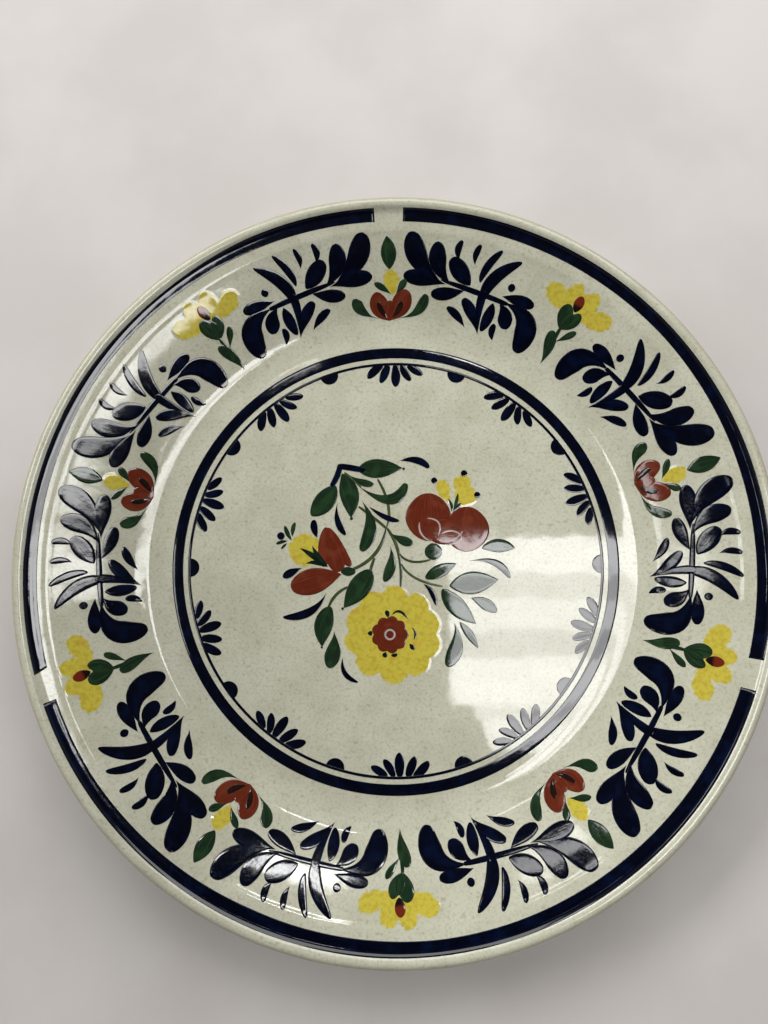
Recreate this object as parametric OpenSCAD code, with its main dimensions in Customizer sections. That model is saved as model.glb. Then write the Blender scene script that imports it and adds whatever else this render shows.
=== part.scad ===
// Hand painted stoneware dinner plate: a fired body, its glaze coat, and the colour films painted on it.
// The plate lies face up. The origin is the middle of the foot ring's resting plane, and +Z is up.

/* [Plate] */
// Diameter over the lip
plate_d = 268; // [266:1:274]
// Height of the glazed well floor above the table
floor_z = 7; // [6.5:0.25:9]
// Radius of the flat well, where the slope of the border starts
well_r = 84; // [83:0.5:85]
// Thickness through body and glaze
wall = 5; // [4.5:0.25:5.5]
// Slope of the border above the table
border_tilt = 23; // [20:1:25]
// Slope of the last stretch that carries the rim band
edge_tilt = 17; // [14:1:19]

/* [Foot ring] */
// Outer radius of the foot ring
foot_r = 74; // [68:1:78]
// Width of the foot ring
foot_w = 7; // [5:0.5:9]

/* [Coats] */
// Thickness of the glaze coat
glaze = 0.35; // [0.3:0.05:0.5]
// Thickness of a painted colour film
film = 0.15; // [0.1:0.05:0.3]

/* [Rings] */
// Middle radius of the rim band
band_r = 127.6; // [127:0.1:128]
// Width of the rim band
band_w = 4.2; // [3:0.1:4.4]
// Middle radius of the ring that edges the well
ring_r = 80.15; // [79.5:0.05:80.5]
// Width of that ring
ring_w = 4; // [2:0.1:4.4]
// Middle radius of the thin ring inside it
thin_r = 75.9; // [75.5:0.1:76.2]
// Width of the thin ring
thin_w = 1; // [0.6:0.1:1.4]

/* [Border motifs] */
// Radius that the tulips and fan flowers are drawn about
flower_r = 106; // [105:0.5:107]
// Radius that the blue sprays are drawn about
spray_r = 107; // [106:0.5:108]

/* [Hidden] */
SPRAYS = [for (i = [1:10]) str("blue_spray_", i)];

$fn = 180;
rim_r = plate_d / 2;
steps = 9;

clay = "tan";
cream = "beige";
navy = "midnightblue";
brick = "sienna";
brown = "saddlebrown";
mauve = "rosybrown";
yellow = "goldenrod";
green = "darkgreen";
olive = "darkolivegreen";

// ---- Section of the plate -------------------------------------------------------------------

fillet = 31;      // hollow curve between well and border
shoulder = 30;    // soft crest at the top of the border
neck = 4;         // hollow curve under the lip
lip_tilt = 50;    // how steeply the neck turns up
bead = wall / 2;  // round edge of the lip

// Points along an arc about c, from angle a to angle b.
function arc(c, r, a, b, n) = [for (i = [0:n]) c + r * [cos(a + (b - a) * i / n), sin(a + (b - a) * i / n)]];
function tilt(a) = [cos(a), sin(a)];

// The face is a hollow curve, a straight slope, a crest, the band's straight slope and a neck.
neck_run = neck * (sin(lip_tilt) - sin(edge_tilt)) + bead * sin(lip_tilt);
fillet_c = [well_r, floor_z + fillet];
fillet_end = fillet_c + fillet * [sin(border_tilt), -cos(border_tilt)];
crest_start = [121, fillet_end[1] + (121 - fillet_end[0]) * tan(border_tilt)];
crest_c = crest_start - shoulder * [-sin(border_tilt), cos(border_tilt)];
crest_end = crest_c + shoulder * [-sin(edge_tilt), cos(edge_tilt)];
neck_start_r = rim_r - bead - neck_run;
neck_start = [neck_start_r, crest_end[1] + (neck_start_r - crest_end[0]) * tan(edge_tilt)];
neck_c = neck_start + neck * [-sin(edge_tilt), cos(edge_tilt)];
neck_end = neck_c + neck * [sin(lip_tilt), -cos(lip_tilt)];
bead_c = neck_end - bead * [-sin(lip_tilt), cos(lip_tilt)];

// The face from the middle to the neck, set d above the glaze.
function face(d) = concat(
    [[0, floor_z + d]],
    arc(fillet_c, fillet - d, -90, -90 + border_tilt, 6),
    arc(crest_c, shoulder + d, 90 + border_tilt, 90 + edge_tilt, 2),
    arc(neck_c, neck - d, -90 + edge_tilt, -90 + lip_tilt, 4)
);
function reversed(p) = [for (i = [len(p) - 1:-1:0]) p[i]];
// The whole outline of the plate without its foot, set d inside the glazed surface.
function outline(d) = concat(
    face(-d),
    arc(bead_c, bead - d, 90 + lip_tilt, -90 + lip_tilt, 14),
    reversed(face(d - wall))
);
// The border's part of a colour film, between the well's edge and the crest.
function border_face(d) = [for (p = face(d)) if (p[0] > well_r - 1 && p[0] < crest_end[0] + 1) p];

foot_round = 1.2; // rounding of the foot's two lower edges

module foot_section() {
    top = floor_z - wall + glaze;
    polygon(concat(
        [[foot_r - foot_w, top]],
        arc([foot_r - foot_w + foot_round, foot_round], foot_round, 180, 270, 6),
        arc([foot_r - foot_round, foot_round], foot_round, 270, 360, 6),
        [[foot_r, top]]
    ));
}

module stoneware_body() {
    color(clay) rotate_extrude() polygon(outline(glaze));
}

// The unglazed foot, one piece of clay with the body, which it meets where the glaze stops.
module foot_ring() {
    color(clay) rotate_extrude() foot_section();
}

module glaze_coat() {
    color(cream) rotate_extrude() difference() {
        polygon(outline(0));
        polygon(outline(glaze));
        foot_section();
    }
}

// ---- Brush strokes ---------------------------------------------------------------------------

// A stroke is [start, middle, end, width, kind]. A kind is [where it is widest, start, end], and an
// end is 0.15 for square, 0.5 for round and 1 for pointed.
rod = [0.5, 0.15, 0.15];
oval = [0.5, 0.5, 0.5];
leaf = [0.5, 0.75, 0.8];
drop = [0.66, 0.9, 0.5];
petal = [0.6, 0.6, 0.5];
comma = [0.42, 0.5, 0.75];
scroll = [0.5, 0.3, 0.3];

function bend(s) = 2 * s[1] - (s[0] + s[2]) / 2;
function spine(s, t) = (1 - t) * (1 - t) * s[0] + 2 * t * (1 - t) * bend(s) + t * t * s[2];
function along(s, t) = (1 - t) * (bend(s) - s[0]) + t * (s[2] - bend(s));
function across(s, t) = [-along(s, t)[1], along(s, t)[0]] / norm(along(s, t));
function swell(k, t) = pow(max(0, sin(180 * pow(t, ln(0.5) / ln(k[0])))), k[1] + (k[2] - k[1]) * t);
function side(s, t, way) = spine(s, t) + way * s[3] / 2 * swell(s[4], t) * across(s, t);
function ease(i) = (1 - cos(180 * i / steps)) / 2;

module stroke(s) {
    polygon(concat(
        [s[0]],
        [for (i = [1:steps - 1]) side(s, ease(i), 1)],
        [s[2]],
        [for (i = [steps - 1:-1:1]) side(s, ease(i), -1)]
    ));
}

module strokes(list) {
    for (s = list) stroke(s);
}

module dot(x, y, r) {
    translate([x, y]) circle(r);
}

// ---- Placing paint ---------------------------------------------------------------------------

// Turns a motif drawn about radius r, with +Y outwards, to its place on the border.
module at(angle, r) {
    rotate(angle - 90) translate([0, r]) children();
}

// A painter's repeat. Each place is [angle, shift outwards, twist], because no two copies fall alike.
module painted(places, r) {
    for (p = places) at(p[0], r + p[1]) rotate(p[2]) children();
}

// A film in the flat well.
module well_film() {
    translate([0, 0, floor_z]) linear_extrude(film) children();
}

// A film on the sloping border.
module border_film() {
    intersection() {
        translate([0, 0, floor_z - 1]) linear_extrude(2 * rim_r / 10) children();
        rotate_extrude() polygon(concat(border_face(0), reversed(border_face(film))));
    }
}

module ring(r, w) {
    difference() {
        circle(r + w / 2);
        circle(r - w / 2);
    }
}

// ---- Rings -----------------------------------------------------------------------------------

// The rim band is painted in three sweeps that stop short of each other.
sweeps = [[93.4, 103.5], [201.7, 138.7], [345.1, 103.6]];

module rim_band() {
    base = crest_end + (band_r - band_w / 2 - crest_end[0]) / cos(edge_tilt) * tilt(edge_tilt);
    top = base + band_w / cos(edge_tilt) * tilt(edge_tilt);
    lift = film * tilt(edge_tilt + 90);
    color(navy) for (s = sweeps) rotate(s[0]) rotate_extrude(angle = s[1]) {
        polygon([base, top, top + lift, base + lift]);
    }
}

module well_ring() {
    color(navy) well_film() ring(ring_r, ring_w);
}

module thin_ring() {
    color(navy) well_film() ring(thin_r, thin_w);
}

daisy_r = 73;
daisy_angles = [89.4, 53.1, 19.3, 341.6, 306.4, 270.7, 234.1, 198, 161, 126.2];
half_dot_angles = [71.5, 35, 359.6, 323.8, 288.2, 252.6, 216.2, 180, 143.4, 108.5];
daisy = [
    [[-5.6, 2.6], [-8.4, 0.3], [-11, -2.8], 3.3, petal],
    [[-3.4, 2.6], [-4.6, -0.6], [-6.2, -4.5], 3.2, petal],
    [[-0.6, 2.6], [-0.5, -1.6], [-0.5, -5.9], 3.5, petal],
    [[1.6, 2.6], [3, -0.5], [5.2, -3.5], 2.9, petal],
    [[4, 2.4], [6.6, 0.6], [9.7, -1.2], 2.9, petal]
];

// Everything inside the thin ring.
module inside_thin_ring() {
    intersection() {
        circle(thin_r - thin_w / 2);
        children();
    }
}

module half_daisies() {
    color(navy) well_film() inside_thin_ring() {
        for (a = daisy_angles) at(a, daisy_r) strokes(daisy);
    }
}

module half_dots() {
    color(navy) well_film() inside_thin_ring() {
        for (a = half_dot_angles) at(a + 0.7, thin_r - 0.5) circle(3.4);
    }
}

// ---- Blue sprays on the border ---------------------------------------------------------------

spray = [
    [[-15, -2], [-5, -0.6], [9, -0.9], 1.8, rod],
    [[-13, -1.6], [-23.2, -6.5], [-22.5, -17], 8, [0.66, 0.75, 0.4]],
    [[-12.2, 0.2], [-19, 0], [-24.5, -0.8], 4.2, [0.6, 0.75, 0.45]],
    [[-11.5, -1.8], [-15, -5.5], [-16.2, -10.3], 5.4, [0.66, 0.9, 0.4]],
    [[-9.7, -2.7], [-9.3, -7.6], [-8, -12.8], 4.1, [0.5, 0.7, 0.5]],
    [[-12.6, -9.4], [-12.1, -12], [-13.3, -14.9], 2.5, comma],
    [[-5.4, -2.5], [-7.8, 5.4], [-15.9, 12.3], 4.6, [0.45, 0.5, 0.5]],
    [[-5.3, 0.5], [-5.3, -6], [-7.2, -14.3], 3.2, [0.2, 0.5, 0.75]],
    [[-7.2, -14.3], [-3.6, -8.4], [1.7, -3.9], 4.2, [0.66, 0.85, 0.4]],
    [[-1.9, -13.1], [2, -9.9], [6.6, -8], 2.9, [0.62, 0.85, 0.45]],
    [[2, -1.2], [8, -3.7], [13.7, -5], 4.5, [0.6, 0.7, 0.4]],
    [[-2.9, 2.8], [-4.1, 8.6], [-7.9, 14.4], 2.9, [0.52, 0.5, 0.4]],
    [[0.5, 7.7], [1.3, 11], [0.3, 14.5], 2.3, [0.62, 0.8, 0.35]],
    [[6.8, 8.2], [8.1, 11.2], [7.2, 14.2], 2.5, [0.55, 0.7, 0.35]],
    [[0.3, 1], [5, 4.4], [9.7, 7.9], 6.3, [0.56, 0.6, 0.4]],
    [[7, -0.5], [13.6, 4.6], [15.2, 11.9], 6.5, [0.66, 0.8, 0.4]],
    [[10, -1], [20.8, 4.3], [25.9, 12.6], 7.8, [0.68, 0.7, 0.4]],
    [[9, -0.8], [17.5, -1], [25.3, -2], 5.4, [0.65, 0.8, 0.45]]
];

module spray_shape() {
    strokes(spray);
    dot(-14.7, 3.6, 1.35);
}

// Odd sprays grow clockwise. Even ones are their mirror image, a little turned and moved.
odd_places = [[108.1, -0.2, 0], [180, 0.2, -0.2], [252.1, 0.2, -0.6], [323.9, -0.2, 0.1], [34.8, 0, 0.7]];
even_places = [[71.6, -0.5, 0.5], [144.5, 0.3, -0.2], [216.4, 0.4, -0.9], [287.8, -0.1, 0.4], [358.6, -0.1, 0.2]];

module blue_spray(n) {
    turn = floor((n - 1) / 2);
    color(navy) border_film() {
        if (n % 2 == 1) painted([odd_places[turn]], spray_r) spray_shape();
        else painted([even_places[turn]], spray_r) mirror([1, 0]) rotate(-2) translate([5.8, 0]) spray_shape();
    }
}

// ---- Tulips on the border --------------------------------------------------------------------

tulip_places = [[90.2, -0.4, 1], [163.1, 0.1, 0], [235, 0.5, -1.5], [306.1, -0.3, 1.7], [17.1, 0.1, -1.3]];
tulip_heart = [
    [[-1.6, -13.2], [-5.4, -8.6], [-5.6, -3.4], 7, [0.6, 0.8, 0.45]],
    [[-2.6, -13.2], [2, -8.4], [4.2, -2.6], 7.2, [0.62, 0.8, 0.45]],
    [[-1.9, -13], [-1.7, -9.6], [-1.5, -6.2], 5, oval]
];
tulip_vein = [
    [[-6, -6.6], [-4.9, -9.6], [-2.7, -12.3], 2, [0.4, 0.45, 0.9]],
    [[2.7, -6.6], [1.5, -9.4], [-1, -12], 2.2, [0.4, 0.45, 0.9]]
];
tulip_bud = [[[-0.4, -4.3], [-1.1, -0.2], [-0.6, 3.9], 5.7, [0.6, 0.5, 0.4]]];
tulip_sepal = [
    [[-1, -4.3], [-4, -2.1], [-7.4, -0.4], 2.3, drop],
    [[0.6, -4], [2.6, -1.7], [4.5, 0.6], 2.6, drop]
];
tulip_leaf = [
    [[-1.6, 4.2], [-1.8, 9.5], [-2.3, 15], 5.7, leaf],
    [[-5.9, -12.3], [-12.2, -9.6], [-14.6, -5.5], 4.2, [0.72, 0.9, 0.4]],
    [[1.5, -12.2], [8.6, -10], [11.9, -4.5], 3.8, [0.72, 0.9, 0.4]]
];

module tulips() {
    painted(tulip_places, flower_r) children();
}

module tulip_petals() {
    color(brick) border_film() tulips() difference() {
        strokes(tulip_heart);
        strokes(tulip_vein);
        strokes(tulip_sepal);
        strokes(tulip_leaf);
    }
}

module tulip_veins() {
    color(brown) border_film() tulips() strokes(tulip_vein);
}

module tulip_buds() {
    color(yellow) border_film() tulips() difference() {
        strokes(tulip_bud);
        strokes(tulip_heart);
        strokes(tulip_sepal);
    }
}

module tulip_leaves() {
    color(green) border_film() tulips() {
        strokes(tulip_sepal);
        strokes(tulip_leaf);
    }
}

// ---- Fan flowers on the border ---------------------------------------------------------------

fan_places = [[53.4, 0.2, 2.7], [126.4, -0.4, -0.7], [198.6, 0.3, -1], [269.7, -0.2, -0.8], [342, 0, -0.3]];
fan_petal = [
    [[-3, 5.8], [-9.5, 8.6], [-15.3, 9.9], 7, petal],
    [[-2.6, 5.5], [-4.6, 10.5], [-5, 16], 7, petal],
    [[-1.4, 5.5], [0.9, 10.5], [1.6, 16], 6.8, petal],
    [[0, 5.6], [5.9, 8], [12.1, 9.9], 6.4, [0.66, 0.6, 0.5]]
];
fan_heart = [[[-1.7, 7.2], [-2.1, 10], [-2.5, 12.8], 3.7, [0.55, 0.55, 0.5]]];
fan_calyx = [
    [[-3, 0.1], [-4.2, 4.6], [-4.2, 8.6], 5.2, petal],
    [[-3, 0.1], [-0.6, 3.7], [0.5, 7.7], 4.2, petal],
    [[-3, 0.3], [-2.2, 3.5], [-1.8, 6.6], 4, petal]
];
fan_leaf = [
    [[-2.8, 0.5], [-2.7, -2], [-2.2, -4.8], 1.3, rod],
    [[-1.9, -4.4], [0.8, -0.9], [2.9, 2], 2.4, drop],
    [[-1.8, -13.1], [-2.6, -7.2], [-5, -1.6], 4.2, [0.7, 0.7, 0.4]]
];

module fan_flowers() {
    painted(fan_places, flower_r) children();
}

module fan_flower_petals() {
    color(yellow) border_film() fan_flowers() difference() {
        strokes(fan_petal);
        strokes(fan_heart);
        strokes(fan_calyx);
    }
}

module fan_flower_hearts() {
    color(brown) border_film() fan_flowers() difference() {
        strokes(fan_heart);
        strokes(fan_calyx);
    }
}

module fan_flower_leaves() {
    color(green) border_film() fan_flowers() {
        strokes(fan_calyx);
        strokes(fan_leaf);
    }
}

// ---- Bouquet in the well: greenery and blue strokes ------------------------------------------

stem = [
    [[-16.5, -1.8], [-7.6, 4], [-3.2, 14], 1.3, rod],
    [[-3.3, 13], [-2.6, 22], [-6.6, 32], 1.1, rod],
    [[-3.4, 14], [1.2, 4.4], [1.9, -8], 1.2, rod],
    [[-3.4, 13.6], [-7.6, 17.2], [-13.6, 21.7], 1.1, rod],
    [[-7.6, 2.6], [-8.8, -0.6], [-9.4, -3.6], 1.1, rod],
    [[-17.4, -8], [-22, -11.2], [-24.6, -16], 1.1, rod],
    [[1.4, 4.2], [6, 1.3], [13, 2], 0.9, rod],
    [[2, 0.6], [7.5, -4.8], [17.4, -7.8], 0.9, rod],
    [[-19, 34.4], [-15.8, 32], [-12.6, 28.8], 0.9, rod]
];
greenery = [
    [[-14, 35.6], [-6.3, 36], [2.9, 36.1], 7.2, [0.46, 0.75, 0.95]],
    [[-22.3, 29.6], [-26.3, 23.6], [-31.2, 18.4], 7.5, [0.5, 0.6, 0.6]],
    [[-19.8, 34], [-17.1, 26.6], [-16.4, 17.6], 7.1, leaf],
    [[-17.3, 33.6], [-12.6, 30.9], [-8, 30], 2.7, drop],
    [[-14, 29.6], [-2.4, 24.3], [4, 30.4], 4.2, [0.66, 0.85, 0.35]],
    [[-12.6, 24], [-9.2, 14.8], [-12.7, 5.2], 4.9, [0.68, 0.8, 0.4]],
    [[-1.8, 11.8], [2.3, 9.3], [6.5, 8], 3.5, drop],
    [[-1.9, 7], [-1.5, 0.4], [-4.2, -6], 3.9, drop],
    [[-9, -1.8], [-13.3, -8.3], [-18.9, -15.6], 8, [0.47, 0.55, 0.9]],
    [[-20, -2.1], [-17.4, -2.3], [-14.6, -2.2], 3.3, oval],
    [[-23.6, -15.2], [-26.2, -21.6], [-26.7, -29.6], 6.8, [0.48, 0.6, 0.9]],
    [[-22.4, -23.8], [-22.5, -30.6], [-24.3, -37.2], 5.7, drop],
    [[22.5, 0.6], [16.5, -2], [11, -4.8], 4.7, [0.55, 0.75, 0.6]],
    [[19.8, -7.6], [28, -6.5], [37.7, -5.3], 8.3, [0.5, 0.75, 0.9]],
    [[17.2, -8.8], [22.4, -15.1], [29.4, -21.3], 6.7, [0.48, 0.65, 0.9]],
    [[27.6, -12], [32.4, -13.9], [37, -17.1], 4.3, [0.6, 0.75, 0.6]],
    [[21, -20], [22.3, -28.2], [18.6, -36.6], 5.4, [0.7, 0.9, 0.45]],
    [[23.4, -20.8], [26.8, -25], [30, -30.1], 3, leaf],
    [[31.8, 6.2], [38, 7.2], [44, 6.2], 5, leaf],
    [[10.8, 4.7], [14, 5], [17.2, 5.3], 6.2, oval]
];
blue_stroke = [
    [[-21.2, 36.9], [-17, 36.3], [-11, 35.2], 2.3, rod],
    [[-20.6, 37.6], [-21.5, 33.5], [-23.8, 29.2], 2.2, rod],
    [[-21.4, 23.3], [-21.4, 16.6], [-18.3, 11.1], 2.4, drop],
    [[-30, 16.7], [-30, 13.6], [-28.8, 10.2], 2.6, comma],
    [[-34.2, -0.9], [-37.9, -2.5], [-41.3, -4.5], 3, drop],
    [[-25.4, -10.2], [-31.3, -17], [-41.1, -19], 3.1, [0.62, 0.9, 0.5]],
    [[-19.2, -33.8], [-18.3, -39.2], [-13.6, -42.3], 1.8, petal],
    [[-9.6, 21.6], [-3.8, 17.8], [1.5, 16.4], 2, petal],
    [[2, 38.9], [8.2, 39], [12.6, 36.1], 2.7, [0.6, 0.6, 0.4]],
    [[26.5, 1.4], [36.3, 1], [41.9, -4.7], 2.7, drop],
    [[10.4, -7], [13.4, -10], [14.9, -14.7], 2.1, petal]
];

module blue_marks() {
    strokes(blue_stroke);
    dot(-42.3, 10.8, 1.4);
    dot(14.5, 31.4, 1.15);
    dot(25.6, 34.1, 1.2);
    dot(30.4, 26, 1.15);
}

module bouquet_stems() {
    color(olive) well_film() difference() {
        strokes(stem);
        strokes(greenery);
        blue_marks();
    }
}

module bouquet_leaves() {
    color(green) well_film() difference() {
        strokes(greenery);
        blue_marks();
    }
}

module bouquet_blue_strokes() {
    color(navy) well_film() blue_marks();
}

// ---- Bouquet: bloom on the left --------------------------------------------------------------

left_petal = [
    [[-16.3, -0.4], [-21.4, 6.5], [-25, 13.8], 4.7, [0.55, 0.35, 0.5]],
    [[-26.4, -0.6], [-26, 6], [-25.6, 14], 5, [0.55, 0.35, 0.5]],
    [[-20.5, -2.4], [-22.6, 4.5], [-25, 13], 7.4, [0.5, 0.35, 0.5]],
    [[-19.8, -3.3], [-28.6, -5.4], [-38.3, -8.3], 9.6, [0.62, 0.65, 0.45]]
];
left_stamen = [
    [[-25.2, -0.3], [-30, 3.2], [-35.4, 6.4], 2.2, [0.45, 0.8, 1]],
    [[-25, -0.5], [-28.3, 3], [-30.7, 7.2], 2, [0.45, 0.8, 1]],
    [[-24.8, -0.6], [-29, 0.9], [-32.9, 0.6], 1.7, [0.45, 0.8, 1]]
];
left_sprig = [
    [[-38.2, 9.1], [-39.8, 11.6], [-40.9, 14.6], 1.6, petal],
    [[-38.1, 10.5], [-37.9, 13.2], [-37.1, 15.8], 1.6, petal],
    [[-39.9, 8.9], [-41.9, 8.6], [-44, 7.8], 1.3, petal],
    [[-40, 8], [-41, 7.2], [-42.1, 5.9], 0.9, petal]
];

module left_bloom_petals() {
    color(brick) well_film() difference() {
        strokes(left_petal);
        strokes(left_stamen);
        strokes(greenery);
        blue_marks();
    }
}

module left_bloom_centre() {
    color(yellow) well_film() difference() {
        dot(-33.3, 5.6, 6.1);
        strokes(left_petal);
        strokes(left_stamen);
        strokes(left_sprig);
        blue_marks();
    }
}

module left_bloom_stamens() {
    color(olive) well_film() strokes(left_stamen);
}

module left_bloom_sprigs() {
    color(green) well_film() strokes(left_sprig);
}

// ---- Bouquet: scrolled bloom on the right ----------------------------------------------------

right_petal = [
    [[12, 8.9], [12.2, 17.7], [12, 26.7], 16.8, oval],
    [[26.2, 4.9], [26.4, 13.1], [27, 21.6], 16.6, oval],
    [[11, 13], [18, 12.8], [25, 13], 10.5, oval]
];
right_swirl = [
    [[11.9, 17.3], [16.1, 15.5], [15.8, 10.8], 0.7, scroll],
    [[9, 15.8], [9.5, 11.7], [12.8, 8.9], 0.7, scroll],
    [[17.3, 11.7], [20.5, 12.6], [23.8, 11.5], 0.7, scroll],
    [[24.2, 11.2], [23.6, 9], [19.3, 7.5], 0.7, scroll]
];
right_bud = [
    [[19.8, 23.6], [18.1, 27.6], [16.9, 31.7], 5.1, petal],
    [[24.8, 27], [24.9, 30.3], [24.8, 33.6], 6.6, oval],
    [[22.2, 27.8], [26.2, 26.2], [30.4, 25.6], 7.4, oval],
    [[23.6, 22.4], [25.8, 24.4], [28, 26], 4.6, oval]
];
right_sprig = [
    [[20.8, 19.8], [20.8, 22.2], [19.7, 24.5], 1, leaf],
    [[21.6, 19.8], [22.6, 23.2], [23.3, 26.7], 1.3, leaf],
    [[21.4, 19.8], [22.9, 21.5], [24.7, 22.9], 1.5, leaf]
];

module right_bloom_petals() {
    color(brick) well_film() difference() {
        strokes(right_petal);
        strokes(right_swirl);
        strokes(right_sprig);
        strokes(greenery);
    }
}

module right_bloom_swirls() {
    color(mauve) well_film() strokes(right_swirl);
}

module right_bloom_buds() {
    color(yellow) well_film() difference() {
        strokes(right_bud);
        strokes(right_petal);
        strokes(right_sprig);
        blue_marks();
    }
}

module right_bloom_sprigs() {
    color(green) well_film() strokes(right_sprig);
}

// ---- Bouquet: round bloom at the bottom ------------------------------------------------------

bloom_c = [-1, -25.3];
lobe_angles = [88, 124, 157, 190, 230, 272, 310, 345, 377, 410];
heart_c = [-2, -25.3];
scallops = 9;
stamen = [
    [[-2.6, -19.2], [-2.8, -17.9], [-3.6, -16.6], 1.7, petal],
    [[-1.4, -18.4], [1.4, -16.9], [4.6, -19.6], 1, petal],
    [[6, -22.8], [7.3, -24.8], [6.7, -27], 1, petal],
    [[5.1, -28.4], [5.8, -29.4], [7, -30.5], 1.7, drop],
    [[-1.5, -32.5], [-0.4, -32.7], [0.8, -32.2], 1.3, oval],
    [[-3.4, -31.3], [-3.7, -32.3], [-4.2, -33.4], 1.9, drop],
    [[-8.4, -24.8], [-9.2, -24.8], [-10.3, -24.8], 1.7, [0.4, 0.5, 1]]
];

// A red disc whose edge bulges in scallops.
module round_heart() {
    translate(heart_c) polygon([for (a = [0:4:356]) (5.9 + 0.9 * abs(cos(scallops * a / 2))) * [cos(a), sin(a)]]);
}

module heart_ring() {
    translate(heart_c) ring(1.7, 0.6);
}

module round_bloom_petals() {
    color(yellow) well_film() difference() {
        union() {
            dot(bloom_c[0], bloom_c[1], 13.4);
            for (a = lobe_angles) translate(bloom_c) rotate(a) dot(12.5, 0, 5.3);
        }
        round_heart();
        strokes(stamen);
        strokes(stem);
        strokes(greenery);
    }
}

module round_bloom_centre() {
    color(brick) well_film() difference() {
        round_heart();
        heart_ring();
        strokes(stamen);
    }
}

module round_bloom_ring() {
    color(mauve) well_film() heart_ring();
}

module round_bloom_stamens() {
    color(olive) well_film() strokes(stamen);
}

// ---- The plate -------------------------------------------------------------------------------

stoneware_body();
foot_ring();
glaze_coat();
rim_band();
well_ring();
thin_ring();
half_daisies();
half_dots();
for (n = [1:10]) blue_spray(n);
tulip_petals();
tulip_veins();
tulip_buds();
tulip_leaves();
fan_flower_petals();
fan_flower_hearts();
fan_flower_leaves();
bouquet_stems();
bouquet_leaves();
bouquet_blue_strokes();
left_bloom_petals();
left_bloom_centre();
left_bloom_stamens();
left_bloom_sprigs();
right_bloom_petals();
right_bloom_swirls();
right_bloom_buds();
right_bloom_sprigs();
round_bloom_petals();
round_bloom_centre();
round_bloom_ring();
round_bloom_stamens();
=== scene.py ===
# %% [markdown]
# # A hand painted stoneware plate
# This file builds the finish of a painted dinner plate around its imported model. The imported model
# fixes every size. Here each of its solids gets a finer stand-in: a turned body, a poured glaze, and
# one thin raised sheet of colour for every stroke that the painter laid down.

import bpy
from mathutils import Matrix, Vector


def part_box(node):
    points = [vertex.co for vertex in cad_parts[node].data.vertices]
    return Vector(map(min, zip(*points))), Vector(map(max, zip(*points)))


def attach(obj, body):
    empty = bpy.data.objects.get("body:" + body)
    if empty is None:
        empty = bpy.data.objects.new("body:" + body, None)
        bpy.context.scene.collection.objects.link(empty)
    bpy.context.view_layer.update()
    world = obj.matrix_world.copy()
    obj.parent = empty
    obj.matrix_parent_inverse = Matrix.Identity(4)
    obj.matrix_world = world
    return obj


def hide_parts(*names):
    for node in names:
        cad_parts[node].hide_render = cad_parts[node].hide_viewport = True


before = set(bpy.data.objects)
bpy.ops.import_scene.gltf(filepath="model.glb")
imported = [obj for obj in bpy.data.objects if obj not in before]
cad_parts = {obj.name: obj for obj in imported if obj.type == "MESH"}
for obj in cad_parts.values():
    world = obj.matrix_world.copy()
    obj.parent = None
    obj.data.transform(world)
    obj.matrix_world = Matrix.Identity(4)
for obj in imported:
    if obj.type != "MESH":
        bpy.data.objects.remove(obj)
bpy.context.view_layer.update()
print("packed solids:", len(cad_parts))

# %% Tools and units
import math

import bmesh
import bpy
import numpy as np
from mathutils import Matrix, Vector, noise

MM = 0.001  # Blender works in metres, and a potter in millimetres
rim_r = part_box("glaze_coat")[1][0] / MM
floor_z = 7.0
print("radius over the lip, mm:", round(rim_r, 2))

# %% [markdown]
# ## The section of the plate
# A plate is turned, so one section makes all of it. It could be drawn freehand and smoothed, but a
# potter's template is a chain of arcs and straights, and so is this: a flat well, a hollow curve, a
# sloping border, a soft crest, a shallower edge that carries the rim band, and a neck under a round lip.

# %% Arcs of the section
wall = 5.0
glaze_depth = 0.35
well_r = 84.0
border_tilt = 23.0
edge_tilt = 17.0
lip_tilt = 50.0
fillet = 31.0
shoulder = 30.0
neck = 4.0
bead = wall / 2
crest_r = 121.0


def arc(centre, radius, start, end, steps):
    """Points along an arc about centre, from angle start to angle end."""
    turn = np.radians(np.linspace(start, end, steps + 1))
    return centre + radius * np.column_stack((np.cos(turn), np.sin(turn)))


def leaning(angle):
    """The direction at a right angle to a slope that rises at this angle."""
    return np.array((-math.sin(math.radians(angle)), math.cos(math.radians(angle))))


def slope(angle):
    return math.tan(math.radians(angle))


fillet_c = np.array((well_r, floor_z + fillet))
fillet_end = fillet_c - fillet * leaning(border_tilt)
crest_start = np.array((crest_r, fillet_end[1] + (crest_r - fillet_end[0]) * slope(border_tilt)))
crest_c = crest_start - shoulder * leaning(border_tilt)
crest_end = crest_c + shoulder * leaning(edge_tilt)
neck_run = neck * (leaning(edge_tilt)[0] - leaning(lip_tilt)[0]) - bead * leaning(lip_tilt)[0]
neck_r = rim_r - bead - neck_run
neck_start = np.array((neck_r, crest_end[1] + (neck_r - crest_end[0]) * slope(edge_tilt)))
neck_c = neck_start + neck * leaning(edge_tilt)
bead_c = neck_c - neck * leaning(lip_tilt) - bead * leaning(lip_tilt)
print("height of the lip, mm:", round(bead_c[1] + bead, 2))


# %% The face, and the height of the glaze at any radius
ridge = 0.075     # height of the soft swelling where the glaze gathers inside the rim band
ridge_r = 122.2
ridge_w = 1.2


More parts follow.
